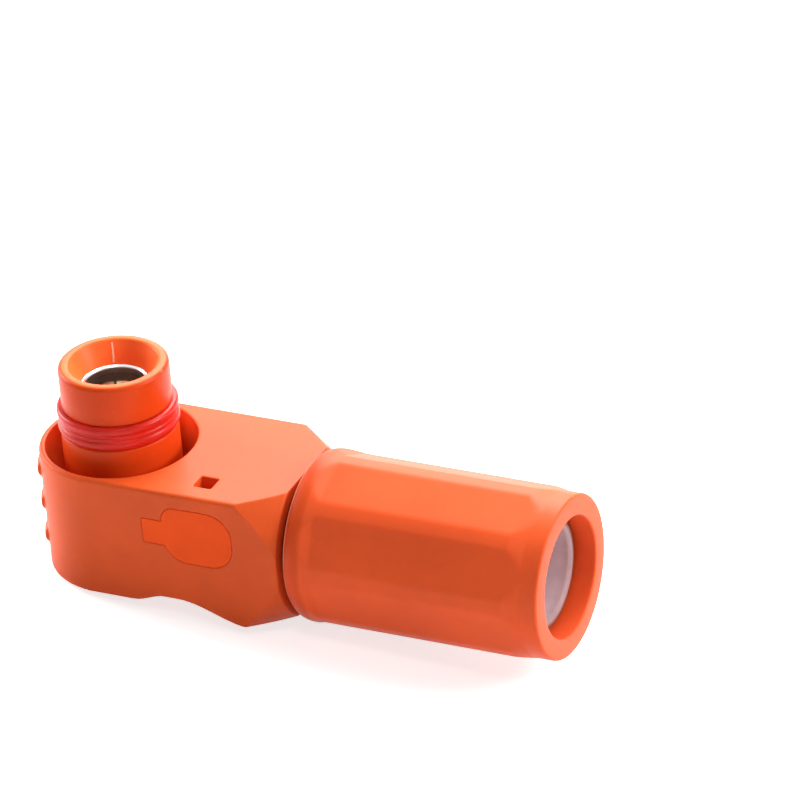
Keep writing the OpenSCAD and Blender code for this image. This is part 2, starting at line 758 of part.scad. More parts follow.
housing();
side_cover();
release_button();
lock_slide();
lock_spring();
nose();
nose_seal();
nose_oring();
contact_socket();
crown_spring();
terminal_screw();
spring_washer();
plain_washer();
crimp_terminal();
neck_oring();
cable_nut();
slip_washer();
gland_claws();
gland_seal();
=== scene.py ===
import bmesh
import bpy
import math
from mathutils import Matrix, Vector


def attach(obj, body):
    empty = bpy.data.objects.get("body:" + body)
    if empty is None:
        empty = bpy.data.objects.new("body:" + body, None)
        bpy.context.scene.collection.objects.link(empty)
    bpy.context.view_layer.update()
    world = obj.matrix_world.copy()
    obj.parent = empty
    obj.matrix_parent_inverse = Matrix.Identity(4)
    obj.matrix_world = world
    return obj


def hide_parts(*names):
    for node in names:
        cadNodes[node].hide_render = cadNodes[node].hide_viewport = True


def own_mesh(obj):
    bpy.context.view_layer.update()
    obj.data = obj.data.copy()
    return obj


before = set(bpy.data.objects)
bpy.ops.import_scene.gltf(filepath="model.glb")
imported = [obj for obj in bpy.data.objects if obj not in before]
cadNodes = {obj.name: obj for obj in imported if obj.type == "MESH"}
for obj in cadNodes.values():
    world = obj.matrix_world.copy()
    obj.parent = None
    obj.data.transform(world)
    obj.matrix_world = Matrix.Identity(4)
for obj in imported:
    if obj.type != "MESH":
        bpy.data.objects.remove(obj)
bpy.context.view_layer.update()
mm = 0.001  # the sizes below are in millimetres unless a note says otherwise
cableZ = 11.7  # height of the cable's axis, which lies along X; the nose stands on the Z axis
print("frame loaded,", len(cadNodes), "nodes")


# A wire is a node's output that can stand in a sum.
class Wire:
    def __init__(self, owner, socket):
        self.owner = owner
        self.socket = socket

    def maths(self, operation, first, second):
        return self.owner.add("ShaderNodeMath", {"operation": operation}, {0: first, 1: second})

    def __add__(self, other):
        return self.maths("ADD", self, other)

    def __radd__(self, other):
        return self.maths("ADD", other, self)

    def __sub__(self, other):
        return self.maths("SUBTRACT", self, other)

    def __rsub__(self, other):
        return self.maths("SUBTRACT", other, self)

    def __mul__(self, other):
        return self.maths("MULTIPLY", self, other)

    def __rmul__(self, other):
        return self.maths("MULTIPLY", other, self)

    def __or__(self, other):
        # either of two masks
        return self.maths("MAXIMUM", self, other)


class Wiring:
    def __init__(self, tree):
        self.tree = tree

    def add(self, kind, settings=None, values=None, out=0):
        node = self.tree.nodes.new(kind)
        for name, value in (settings or {}).items():
            if name == "stops":
                for element, (position, grey) in zip(node.color_ramp.elements, value):
                    element.position = position
                    element.color = (grey, grey, grey, 1)
            else:
                setattr(node, name, value)
        for name, value in (values or {}).items():
            if isinstance(value, Wire):
                self.tree.links.new(value.socket, node.inputs[name])
            else:
                node.inputs[name].default_value = value
        return Wire(self, node.outputs[out])

    def whiteRays(self):
        # 1 for the rays that show the white background: seen straight, in gloss or through clear pieces
        camera, glossy, clear = [self.add("ShaderNodeLightPath", out=ray)
                                 for ray in ("Is Camera Ray", "Is Glossy Ray", "Is Transmission Ray")]
        return camera | glossy | clear


def rgba(colour, share=1.0):
    return (*[min(1.0, c * share) for c in colour], 1.0)


class Finish(Wiring):
    def __init__(self, name, fixed):
        self.material = bpy.data.materials.new(name)
        self.material.use_nodes = True
        super().__init__(self.material.node_tree)
        self.shader = self.tree.nodes["Principled BSDF"]
        for socket, value in fixed.items():
            self.shader.inputs[socket].default_value = value
        self.place = self.add("ShaderNodeTexCoord", out="Object")

    def noise(self, scale, detail=3, stretch=(1, 1, 1)):
        spot = self.add("ShaderNodeMapping", {}, {"Vector": self.place, "Scale": stretch})
        return self.add("ShaderNodeTexNoise", {}, {"Vector": spot, "Scale": scale, "Detail": detail})

    def along(self, axis):
        # place along one axis, 0 for X and 2 for Z
        return self.add("ShaderNodeSeparateXYZ", {}, {0: self.place}, out=axis)

    def reach(self, centre, across):
        # distance from the axis through the centre; across has 1 for the two directions that count
        moved = self.add("ShaderNodeVectorMath", {"operation": "SUBTRACT"}, {0: self.place, 1: centre})
        flat = self.add("ShaderNodeVectorMath", {"operation": "MULTIPLY"}, {0: moved, 1: across})
        return self.add("ShaderNodeVectorMath", {"operation": "LENGTH"}, {0: flat}, out=1)

    def band(self, wire, low, high):
        # 0 below low, 1 above high
        return self.add("ShaderNodeValToRGB", {"stops": [(low, 0.0), (high, 1.0)]}, {0: wire})

    def crossing(self, distance, spread, low=0.1, high=0.9):
        # goes from 0 to 1 over the spread where the distance passes through zero
        return self.band(distance * (1 / spread) + 0.5, low, high)

    def tint(self, mask, plain, marked):
        # a colour that goes from plain to marked as the mask goes from 0 to 1
        return self.add("ShaderNodeMix", {"data_type": "RGBA"}, {0: mask, 6: plain, 7: marked}, out=2)

    def retint(self, mask, tones, colour, shares):
        # the dark and the light tone, both in another colour where the mask is 1
        return [self.tint(mask, tone, rgba(colour, share)) for tone, share in zip(tones, shares)]

    def feed(self, socket, wire):
        self.tree.links.new(wire.socket, self.shader.inputs[socket])

    def relief(self, height, depth):
        bump = self.add("ShaderNodeBump", {}, {"Height": height, "Distance": depth, "Strength": 1.0})
        self.feed("Normal", bump)


# What all moulded plastics share; the scales are in repeats per metre.
mould = {"coatRoughness": 0.3, "tones": (0.93, 1.07), "zoneTones": (0.93, 1.05), "boreSpread": 1 / 1.5,
         "cloudBand": (0.35, 0.68), "cloudRough": 0.07, "speckScale": 2600, "speckBand": (0.66, 0.78),
         "speckShare": 0.18, "edgeSpread": 0.07, "patchScale": 700, "patchBand": (0.25, 0.7),
         "rubbedRough": 0.05, "scratchScale": 420, "scratchStretch": (1, 9, 4), "scratchBand": (0.6, 0.74),
         "scratchRough": 0.06, "scratchDepth": 0.3, "fineGrain": 2.7, "fineShare": 0.25}


def plasticFinish(name, look):
    # moulded plastic: cloudy colour, fine spark-eroded grain, faint scratches and paler rubbed edges, which
    # are partly wear and partly a painted highlight along the edges
    finish = Finish(name, {"Specular IOR Level": look["gloss"], "Coat Weight": look.get("coat", 0.0),
                           "Coat Roughness": mould["coatRoughness"]})
    worn = rgba(look["worn"])
    clouds = finish.noise(look["cloudScale"], 4)
    tones = [rgba(look["colour"], share) for share in mould["tones"]]
    if "bore" in look:
        # painted light: paler inside this radius of the upright axis, standing for the light gathered in the
        # funnel and on the inner rim
        radius = finish.reach((0, 0, 0), (1, 1, 0))
        inside = finish.crossing(look["bore"] * mm - radius, mould["boreSpread"] * mm)
        tones = finish.retint(inside, tones, look["inside"], mould["zoneTones"])
    for limit, spread, colour in look.get("zones", ()):
        # painted light: another tone in front of this place along the cable; on the nut a painted shade on
        # the brow and a painted highlight on the front edge
        paintedBandAhead = finish.crossing(limit * mm - finish.along(0), spread * mm)
        tones = finish.retint(paintedBandAhead, tones, colour, mould["zoneTones"])
    cloudy = finish.tint(finish.band(clouds, *mould["cloudBand"]), *tones)
    specks = finish.band(finish.noise(mould["speckScale"], 2), *mould["speckBand"])
    speckled = finish.tint(specks * mould["speckShare"], cloudy, worn)
    # wear and painted highlight: pointed edges are tinted paler in patches
    edges = finish.add("ShaderNodeNewGeometry", out="Pointiness")
    rubbedAndHighlitEdges = finish.band(edges, look["edgeStart"], look["edgeStart"] + mould["edgeSpread"])
    patchy = rubbedAndHighlitEdges * finish.band(finish.noise(mould["patchScale"], 3), *mould["patchBand"])
    finish.feed("Base Color", finish.tint(patchy * look["wear"], speckled, worn))
    lines = finish.noise(mould["scratchScale"], 5, mould["scratchStretch"])
    scratches = finish.band(lines, *mould["scratchBand"])
    rough = look["roughness"] + mould["cloudRough"] * clouds + mould["rubbedRough"] * patchy
    finish.feed("Roughness", rough - mould["scratchRough"] * scratches)
    grain = finish.noise(look["grainScale"], 3)
    grain = grain + mould["fineShare"] * finish.noise(look["grainScale"] * mould["fineGrain"], 2)
    finish.relief(grain + mould["scratchDepth"] * scratches, look["grainDepth"] * mm)
    return finish.material


# What all rubbers share.
rubber = {"coatRoughness": 0.12, "bleed": (0.004, 0.0012, 0.001), "bleedScale": 0.3, "tones": (0.88, 1.1),
          "cloudScale": 170, "cloudBand": (0.35, 0.7), "cloudRough": 0.1, "dustScale": 1500,
          "dustBand": (0.62, 0.76), "dustRough": 0.2, "grainScale": 900}


def rubberFinish(name, look):
    finish = Finish(name, {"Specular IOR Level": look["gloss"], "Coat Weight": look.get("coat", 0.0),
                           "Coat Roughness": rubber["coatRoughness"], "Subsurface Weight": look["depth"],
                           "Subsurface Radius": rubber["bleed"], "Subsurface Scale": rubber["bleedScale"]})
    clouds = finish.noise(rubber["cloudScale"], 4)
    dust = finish.band(finish.noise(rubber["dustScale"], 3), *rubber["dustBand"])
    tones = [rgba(look["colour"], share) for share in rubber["tones"]]
    for limit, spread, colour in look.get("rings", ()):
        # painted shade: a darker tone outside this distance from the cable's axis, over the sleeve's lip and
        # round it
        radius = finish.reach((0, 0, cableZ * mm), (0, 1, 1))
        outside = finish.crossing(radius - limit * mm, spread * mm)
        tones = finish.retint(outside, tones, colour, rubber["tones"])
    cloudy = finish.tint(finish.band(clouds, *rubber["cloudBand"]), *tones)
    finish.feed("Base Color", finish.tint(dust * look["dust"], cloudy, rgba(look["dustColour"])))
    rough = look["roughness"] + rubber["cloudRough"] * clouds + rubber["dustRough"] * dust
    finish.feed("Roughness", rough)
    finish.relief(finish.noise(rubber["grainScale"], 3), look["grainDepth"] * mm)
    return finish.material


# What all metals share.
metal = {"tarnishScale": 260, "tarnishBand": (0.4, 0.75), "tarnishRough": 0.12, "lineRough": 0.16,
         "deepSpread": 1 / 3, "deepBand": (0.2, 0.8), "deepShare": 0.9, "deepRough": 0.25}


def metalFinish(name, look):
    # turned or drawn metal: fine lines across the stretch axis, slight tarnish
    finish = Finish(name, {"Metallic": 1.0})
    lines = finish.noise(look["lineScale"], 4, look["stretch"])
    tarnish = finish.band(finish.noise(metal["tarnishScale"], 4), *metal["tarnishBand"])
    bright = finish.tint(tarnish * look["tarnish"], rgba(look["colour"]), rgba(look["dull"]))
    rough = look["roughness"] + metal["lineRough"] * lines + metal["tarnishRough"] * tarnish
    if "deep" in look:
        # painted shade below this height, or above it where side is -1, standing for the shade inside the
        # socket's bore; rougher there as well
        spread = look["side"] * metal["deepSpread"] * mm
        inside = finish.crossing(look["deep"] * mm - finish.along(2), spread, *metal["deepBand"])
        bright = finish.tint(inside * metal["deepShare"], bright, rgba(look["inside"]))
        rough = rough + metal["deepRough"] * inside
    finish.feed("Base Color", bright)
    finish.feed("Roughness", rough)
    finish.relief(lines, look["lineDepth"] * mm)
    return finish.material


def smoothed(mesh, sharpAngle=38):
    limit = math.radians(sharpAngle)
    work = bmesh.new()
    work.from_mesh(mesh)
    bmesh.ops.recalc_face_normals(work, faces=work.faces)
    for face in work.faces:
        face.smooth = True
    for edge in work.edges:
        edge.smooth = len(edge.link_faces) == 2 and edge.calc_face_angle(0) < limit
    work.to_mesh(mesh)
    work.free()


def placed(name, mesh, material, body, replaced=()):
    piece = bpy.data.objects.new(name, mesh)
    bpy.context.scene.collection.objects.link(piece)
    mesh.materials.clear()
    mesh.materials.append(material)
    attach(piece, body)
    if replaced:
        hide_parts(*replaced)
    print("piece", name, len(mesh.polygons), "faces")
    return piece


def newPiece(name, points, faces, material, body, replaced=()):
    mesh = bpy.data.meshes.new(name)
    mesh.from_pydata(points, [], faces)
    smoothed(mesh)
    return placed(name, mesh, material, body, replaced)


def skin(rings, count, closed=False):
    # quads between neighbouring rings of points, and a flat face on each end unless they close up
    faces = []
    for k in range(rings if closed else rings - 1):
        n = (k + 1) % rings
        for i in range(count):
            j = (i + 1) % count
            faces.append((k * count + i, k * count + j, n * count + j, n * count + i))
    if not closed:
        faces.append(tuple(range(count)))
        faces.append(tuple(range((rings - 1) * count, rings * count)))
    return faces


def roundedLoop(corners, steps=6):
    # corners are (radius, height, fillet) round a closed profile
    loop = []
    for i, (radius, height, fillet) in enumerate(corners):
        here = Vector((radius, height))
        before = Vector(corners[i - 1][:2]) - here
        after = Vector(corners[(i + 1) % len(corners)][:2]) - here
        if not fillet:
            loop.append(here)
            continue
        half = before.angle(after) / 2
        reach = min(fillet / math.tan(half), 0.48 * min(before.length, after.length))
        centre = here + (before.normalized() + after.normalized()).normalized() * reach / math.cos(half)
        first = here + before.normalized() * reach - centre
        last = here + after.normalized() * reach - centre
        sweep = first.angle(last)
        for k in range(steps + 1):
            t = k / steps
            arm = first * math.sin((1 - t) * sweep) + last * math.sin(t * sweep)
            loop.append(centre + arm / math.sin(sweep))
    return loop


def turned(loop, axis, turns=160, outline=None):
    # revolves a closed profile; outline(angle, radius, height) may change the radius
    points = []
    for k in range(turns):
        angle = 2 * math.pi * k / turns
        for radius, height in loop:
            r = outline(angle, radius, height) if outline else radius
            side, rise = r * math.sin(angle), r * math.cos(angle)
            if axis == "z":
                points.append((rise * mm, side * mm, height * mm))
            else:
                points.append((height * mm, side * mm, (cableZ + rise) * mm))
    return points, skin(turns, len(loop), closed=True)


def meshAsShown(source):
    # the mesh with the object's modifiers applied; the object itself goes
    bpy.context.view_layer.update()
    mesh = bpy.data.meshes.new_from_object(source.evaluated_get(bpy.context.evaluated_depsgraph_get()))
    bpy.data.objects.remove(source)
    return mesh


def softCopy(node, look):
    # the CAD shape with the small radii that a mould leaves on every edge
    source = bpy.data.objects.new("work", cadNodes[node].data.copy())
    bpy.context.scene.collection.objects.link(source)
    remesh = source.modifiers.new("remesh", "REMESH")
    remesh.mode = "VOXEL"
    remesh.voxel_size = look["voxel"] * mm
    remesh.use_smooth_shade = True
    ease = source.modifiers.new("ease", "SMOOTH")
    ease.factor = 0.5
    ease.iterations = look["rounds"]
    if "keep" in look:
        thin = source.modifiers.new("thin", "DECIMATE")
        thin.ratio = look["keep"]
    return meshAsShown(source)


def dress(node, material):
    for slot in cadNodes[node].material_slots:
        slot.link = "OBJECT"
        slot.material = material


# Grain and line depths in millimetres; painted light bands and painted shade rings are (limit, spread,
# colour) in millimetres.
plastics = {
    "housing": {"colour": (0.76, 0.093, 0.016), "worn": (0.92, 0.36, 0.20), "gloss": 0.15,
                "roughness": 0.40, "cloudScale": 70, "grainScale": 2400, "grainDepth": 0.012,
                "edgeStart": 0.58, "wear": 0.12},
    "cover": {"colour": (1.0, 0.090, 0.008), "worn": (0.98, 0.36, 0.16), "gloss": 0.1,
              "roughness": 0.42, "cloudScale": 110, "grainScale": 2600, "grainDepth": 0.01,
              "edgeStart": 0.53, "wear": 0.4},
    "button": {"colour": (0.78, 0.100, 0.022), "worn": (0.95, 0.38, 0.2), "gloss": 0.12,
               "roughness": 0.40, "cloudScale": 120, "grainScale": 2600, "grainDepth": 0.01,
               "edgeStart": 0.53, "wear": 0.5},
    # the nose's paler tone inside radius 10.2 is painted light in the funnel and on the inner rim
    "nose": {"colour": (0.68, 0.056, 0.006), "worn": (0.98, 0.42, 0.22), "gloss": 0.12,
             "bore": 10.2, "inside": (0.96, 0.155, 0.033),
             "roughness": 0.30, "cloudScale": 90, "grainScale": 2100, "grainDepth": 0.007,
             "edgeStart": 0.54, "wear": 0.2},
    # the parting line's pale colour is a painted highlight
    "mouldEdge": {"colour": (0.98, 0.50, 0.32), "worn": (1.0, 0.75, 0.6), "gloss": 0.6, "coat": 0.5,
                  "roughness": 0.2, "cloudScale": 300, "grainScale": 2600, "grainDepth": 0.003,
                  "edgeStart": 0.55, "wear": 0.2},
    "nut": {"colour": (0.86, 0.103, 0.024), "worn": (0.95, 0.38, 0.2), "gloss": 0.12,
            # painted shade on the brow in front of 44.7 and a painted highlight along the front edge before
            # 41.32
            "zones": [(44.7, 1.2, (0.72, 0.076, 0.014)), (41.32, 0.15, (0.98, 0.36, 0.22))],
            "roughness": 0.38, "cloudScale": 55, "grainScale": 2300, "grainDepth": 0.011,
            "edgeStart": 0.53, "wear": 0.4},
    "latch": {"colour": (0.50, 0.055, 0.014), "worn": (0.8, 0.3, 0.15), "gloss": 0.2,
              "roughness": 0.42, "cloudScale": 200, "grainScale": 2600, "grainDepth": 0.01,
              "edgeStart": 0.55, "wear": 0.2},
    "claw": {"colour": (0.07, 0.07, 0.08), "worn": (0.25, 0.25, 0.26), "gloss": 0.5,
             "roughness": 0.42, "cloudScale": 120, "grainScale": 2600, "grainDepth": 0.01,
             "edgeStart": 0.55, "wear": 0.2},
    "slip": {"colour": (0.78, 0.77, 0.72), "worn": (0.9, 0.9, 0.88), "gloss": 0.5,
             "roughness": 0.32, "cloudScale": 120, "grainScale": 2600, "grainDepth": 0.006,
             "edgeStart": 0.55, "wear": 0.2},
}
rubbers = {
    "noseSeal": {"colour": (0.62, 0.016, 0.008), "dustColour": (0.95, 0.4, 0.3), "gloss": 0.18,
                 "coat": 0.06, "roughness": 0.28, "depth": 0.15, "dust": 0.04, "grainDepth": 0.006},
    "neckRing": {"colour": (0.22, 0.012, 0.010), "dustColour": (0.3, 0.12, 0.12), "gloss": 0.4,
                 "roughness": 0.45, "depth": 0.0, "dust": 0.15, "grainDepth": 0.008},
    "blackRing": {"colour": (0.02, 0.02, 0.02), "dustColour": (0.2, 0.2, 0.2), "gloss": 0.5,
                  "roughness": 0.4, "depth": 0.0, "dust": 0.15, "grainDepth": 0.008},
    "clearSeal": {"colour": (0.64, 0.49, 0.52), "dustColour": (0.9, 0.8, 0.82), "gloss": 0.3,
                  # the sleeve's lip and the gap round it are painted darker: painted shade
                  "rings": [(9.2, 0.6, (0.40, 0.27, 0.275)), (10.3, 1.0, (0.20, 0.075, 0.05))],
                  "roughness": 0.42, "depth": 0.3, "dust": 0.08, "grainDepth": 0.01},
}
# silver and gold are painted darker past their deep height: painted shade inside the socket's bore
metals = {
    "silver": {"colour": (0.93, 0.91, 0.88), "dull": (0.62, 0.58, 0.54), "roughness": 0.14,
               "lineScale": 900, "stretch": (1, 1, 14), "lineDepth": 0.001, "tarnish": 0.15,
               "deep": 38.0, "side": 1, "inside": (0.10, 0.075, 0.065)},
    "gold": {"colour": (0.66, 0.54, 0.42), "dull": (0.4, 0.3, 0.2), "roughness": 0.25,
             "lineScale": 1200, "stretch": (6, 6, 1), "lineDepth": 0.002, "tarnish": 0.5,
             "deep": 35.0, "side": -1, "inside": (0.09, 0.065, 0.055)},
    "steel": {"colour": (0.62, 0.62, 0.64), "dull": (0.36, 0.35, 0.34), "roughness": 0.25,
              "lineScale": 900, "stretch": (1, 1, 8), "lineDepth": 0.003, "tarnish": 0.4},
    "tin": {"colour": (0.74, 0.73, 0.71), "dull": (0.5, 0.49, 0.47), "roughness": 0.3,
            "lineScale": 700, "stretch": (8, 1, 1), "lineDepth": 0.004, "tarnish": 0.5},
}
finishes = {}
for looks, make, ending in ((plastics, plasticFinish, "Plastic"), (rubbers, rubberFinish, "Rubber"),
                            (metals, metalFinish, "Metal")):
    for name, look in looks.items():
        finishes[name] = make(name + ending, look)
print("finishes ready,", len(finishes))

# The housing, with the plus sign sunk into its button side.
housing = {"voxel": 0.18, "rounds": 3, "keep": 0.17, "sharpAngle": 50, "side": 16.15}
plus = {"x": 6.6, "z": 19.0, "pocket": 2.8, "deep": 0.35, "length": 3.4, "wide": 0.5, "bevel": 0.08,
        "rooted": 0.1, "endSteps": 8}


def plusPocket(mesh):
    # sinks a shallow round pocket for the sign into the side face
    work = bpy.data.objects.new("work", mesh)
    cutterMesh = bpy.data.meshes.new("cutter")
    cutterWork = bmesh.new()
    bmesh.ops.create_cone(cutterWork, cap_ends=True, segments=64, radius1=plus["pocket"] * mm,
                          radius2=plus["pocket"] * mm, depth=2 * plus["deep"] * mm)
    cutterWork.to_mesh(cutterMesh)
    cutterWork.free()
    cutter = bpy.data.objects.new("cutter", cutterMesh)
    cutter.rotation_euler = (math.pi / 2, 0, 0)
    cutter.location = (plus["x"] * mm, housing["side"] * mm, plus["z"] * mm)
    for item in (work, cutter):
        bpy.context.scene.collection.objects.link(item)
    carve = work.modifiers.new("carve", "BOOLEAN")
    carve.operation = "DIFFERENCE"
    carve.solver = "EXACT"
    carve.object = cutter
    carved = meshAsShown(work)
    bpy.data.objects.remove(cutter)
    return carved


def plusBar(name, turn, below):
    # a flat bar with rounded ends, from the floor of the pocket to just below the side face
    straight, bend = (plus["length"] - plus["wide"]) / 2, plus["wide"] / 2
    outline = []
    for end in (1, -1):
        for k in range(plus["endSteps"] + 1):
            angle = math.radians(-90 + 180 * k / plus["endSteps"])
            outline.append((end * (straight + bend * math.cos(angle)), end * bend * math.sin(angle)))
    low, high = housing["side"] - plus["deep"] - plus["rooted"], housing["side"] - below
    points = []
    for inset, y in ((0, low), (0, high - plus["bevel"]), (plus["bevel"], high)):
        for a, b in outline:
            a -= math.copysign(inset, a)
            b *= 1 - 2 * inset / plus["wide"]
            points.append(((plus["x"] + a * math.cos(turn) - b * math.sin(turn)) * mm, y * mm,
                           (plus["z"] + a * math.sin(turn) + b * math.cos(turn)) * mm))
    newPiece(name, points, skin(3, len(outline)), finishes["housing"], "body")


housingMesh = plusPocket(softCopy("housing", housing))
smoothed(housingMesh, housing["sharpAngle"])
placed("housing_shell", housingMesh, finishes["housing"], "body", ["housing"])
plusBar("plus_bar_1", 0.0, 0.02)
plusBar("plus_bar_2", math.pi / 2, 0.01)
print("housing done")

# The side cover and the release button, with what moves behind it.
cover = {"voxel": 0.13, "rounds": 3}
button = {"voxel": 0.13, "rounds": 3}
spring = {"radius": 3.1, "wire": 0.25, "turns": 4, "steps": 36, "sides": 12, "stroke": 2.8, "play": 0.05}


def coil():
    # one wire round the Y axis, as long as the modelled spring, with its foot and length
    spots = [v.co for v in cadNodes["lock_spring"].data.vertices]
    low, high = min(v.y for v in spots), max(v.y for v in spots)
    middleX = (min(v.x for v in spots) + max(v.x for v in spots)) / 2
    middleZ = (min(v.z for v in spots) + max(v.z for v in spots)) / 2
    sides, steps = spring["sides"], spring["steps"] * spring["turns"]
    wire = spring["wire"] * mm
    span = high - low - 2 * wire
    points = []
    for k in range(steps + 1):
        angle = 2 * math.pi * k / spring["steps"]
        for side in range(sides):
            turn = 2 * math.pi * side / sides
            reach = spring["radius"] * mm + wire * math.cos(turn)
            points.append((middleX + reach * math.cos(angle),
                           low + wire + span * k / steps + wire * math.sin(turn),
                           middleZ + reach * math.sin(angle)))
    return points, skin(steps + 1, sides), (middleX, low, middleZ), high - low


placed("cover_plate", softCopy("side_cover", cover), finishes["cover"], "body",
       ["side_cover"])
placed("button_cap", softCopy("release_button", button), finishes["button"], "latch",
       ["release_button"])
dress("lock_slide", finishes["latch"])
points, faces, springFoot, springLength = coil()
coilSpring = newPiece("spring_coil", points, faces, finishes["steel"], "body",
                      ["lock_spring"])
# the share of its length that would be left after the stroke of the button, towards the cover; nothing uses
# it
1 - (spring["stroke"] + spring["play"]) * mm / springLength
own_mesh(coilSpring)
print("latch done, spring length", round(springLength / mm, 2), "mm")

# The nose and its seal ring.
nose = {"tip": 42.7, "outer": 10.8, "base": 11.45, "bowl": 13.52, "seal": 29.3, "sealTop": 34.3,
        "groove": 9.8, "bore": 6.7, "metal": 38.3, "funnelLow": 6.8, "funnelTop": 8.8,
        "foot": 10.3, "footR": 10.4, "ringLow": 11.3, "ringTop": 12.5, "ringR": 9.2}
noseCorners = [
    (nose["bore"], nose["foot"], 0.2), (nose["footR"], nose["foot"], 0.3),
    (nose["footR"], nose["ringLow"], 0), (nose["ringR"], nose["ringLow"], 0),
    (nose["ringR"], nose["ringTop"], 0), (nose["footR"], nose["ringTop"], 0),
    (nose["footR"], nose["bowl"], 0), (nose["base"], nose["bowl"], 0.2),
    (nose["base"], nose["seal"], 0.55), (nose["groove"], nose["seal"], 0.2),
    (nose["groove"], nose["sealTop"], 0.2), (nose["outer"], nose["sealTop"], 0.3),
    (nose["outer"], nose["tip"], 1.15), (nose["funnelTop"], nose["tip"], 0.6),
    (nose["funnelLow"], nose["metal"], 0.3), (nose["bore"], nose["metal"] - 0.3, 0.1)]
points, faces = turned(roundedLoop(noseCorners, 7), "z", 192)
newPiece("nose_tube", points, faces, finishes["nose"], "body", ["nose"])

seal = {"inner": 9.82, "low": 29.32, "high": 34.28, "valley": 11.52, "edge": 0.9, "root": 0.4,
        "middle": 31.8, "level": 1.9, "fall": 0.5, "full": 2.4, "steps": 90,
        "lips": [(30.35, 1.03, 11.85), (33.3, 0.98, 11.85), (31.85, 0.42, 11.68)]}


def sealLoop():
    # two broad lips with a fine rib in the valley between them, each (height, half height, radius)
    low, high, valley = seal["low"], seal["high"], seal["valley"]
    root = valley - seal["root"]
    loop = [Vector((seal["inner"], low)), Vector((valley - seal["edge"], low))]
    for k in range(seal["steps"] + 1):
        height = low + (high - low) * k / seal["steps"]
        radius = valley - seal["fall"] * max(0.0, abs(height - seal["middle"]) - seal["level"])
        for centre, half, top in seal["lips"]:
            gap = abs(height - centre) / half
            if gap < 1:
                radius = max(radius, root + (top - root) * (1 - gap ** seal["full"]) ** 0.5)
        loop.append(Vector((radius, height)))
    return loop + [Vector((valley - seal["edge"], high)), Vector((seal["inner"], high))]


points, faces = turned(sealLoop(), "z", 192)
newPiece("seal_lips", points, faces, finishes["noseSeal"], "body", ["nose_seal"])
dress("nose_oring", finishes["blackRing"])

parting = {"angle": math.radians(119), "wide": 0.22, "proud": 0.09, "sunk": 0.03, "start": 0.06,
           "share": 0.8, "steps": 10}


def partingLine():
    # thin raised line that the mould leaves up the wall of the funnel
    section = ((-1, -parting["sunk"]), (-0.5, parting["proud"]), (0.5, parting["proud"]),
               (1, -parting["sunk"]))
    points = []
    for k in range(parting["steps"] + 1):
        t = parting["start"] + parting["share"] * k / parting["steps"]
        radius = nose["funnelLow"] + (nose["funnelTop"] - nose["funnelLow"]) * t
        height = nose["metal"] + (nose["tip"] - nose["metal"]) * t
        for side, rise in section:
            turn = parting["angle"] + side * parting["wide"] / radius
            r = radius - rise
            points.append((r * math.cos(turn) * mm, r * math.sin(turn) * mm, height * mm))
    return points, skin(parting["steps"] + 1, len(section))


points, faces = partingLine()
# its pale finish is a painted highlight along the ridge
newPiece("mould_line", points, faces, finishes["mouldEdge"], "body")
print("nose done")

# The contact socket and what is clamped to it.
contact = {"outer": 6.65, "bore": 5.9, "groove": 6.1, "hole": 2.75, "low": 9.92, "floor": 14.2,
           "tip": 38.3, "lead": 0.45, "springLow": 20.44, "springTop": 36.72}
contactCorners = [
    (contact["hole"], contact["low"], 0), (contact["outer"], contact["low"], 0.3),
    (contact["outer"], contact["tip"], 0.12), (contact["bore"] + contact["lead"], contact["tip"], 0.15),
    (contact["bore"], contact["tip"] - contact["lead"], 0.25), (contact["bore"], contact["springTop"], 0.05),
    (contact["groove"], contact["springTop"], 0), (contact["groove"], contact["springLow"], 0),
    (contact["bore"], contact["springLow"], 0), (contact["bore"], contact["floor"], 0.2),
    (contact["hole"], contact["floor"], 0.1)]
points, faces = turned(roundedLoop(contactCorners, 6), "z", 192)
newPiece("contact_tube", points, faces, finishes["silver"], "body", ["contact_socket"])
dress("crown_spring", finishes["gold"])
for node in ("terminal_screw", "spring_washer", "plain_washer"):
    dress(node, finishes["steel"])
dress("crimp_terminal", finishes["tin"])
print("contact done")

# The cable nut, a turned body inside eight flats.
nut = {"front": 41.1, "back": 94.0, "flat": 16.15, "corner": 16.9, "frontR": 15.9, "collar": 16.1,
       "bore": 12.98, "mouth": 11.9, "shoulder": 85.7, "neckFrom": 86.9, "neckTo": 90.3,
       "flats": 8, "turn": math.radians(4.5), "blend": 0.18, "flatsStart": 46.9, "flatsSlope": 0.276,
       "browStart": 0.4, "browLength": 2.5, "browSteps": 12, "lip": 0.1,
       "outside": 14, "fineFrom": 43, "fineTo": 48, "fine": 0.25, "coarse": 0.9, "longParts": 60}


def nutRadius(angle, radius, height):
    # the turned body where it is inside the flats, with a soft edge between the two
    if radius < nut["outside"]:
        return radius
    step = 2 * math.pi / nut["flats"]
    offset = ((angle - nut["turn"]) % step) - step / 2
    depth = nut["flat"] + nut["flatsSlope"] * max(0.0, nut["flatsStart"] - height)
    flat = depth / math.cos(offset)
    share = min(1.0, max(0.0, 0.5 + 0.5 * (flat - radius) / nut["blend"]))
    return flat * (1 - share) + radius * share - nut["blend"] * share * (1 - share)


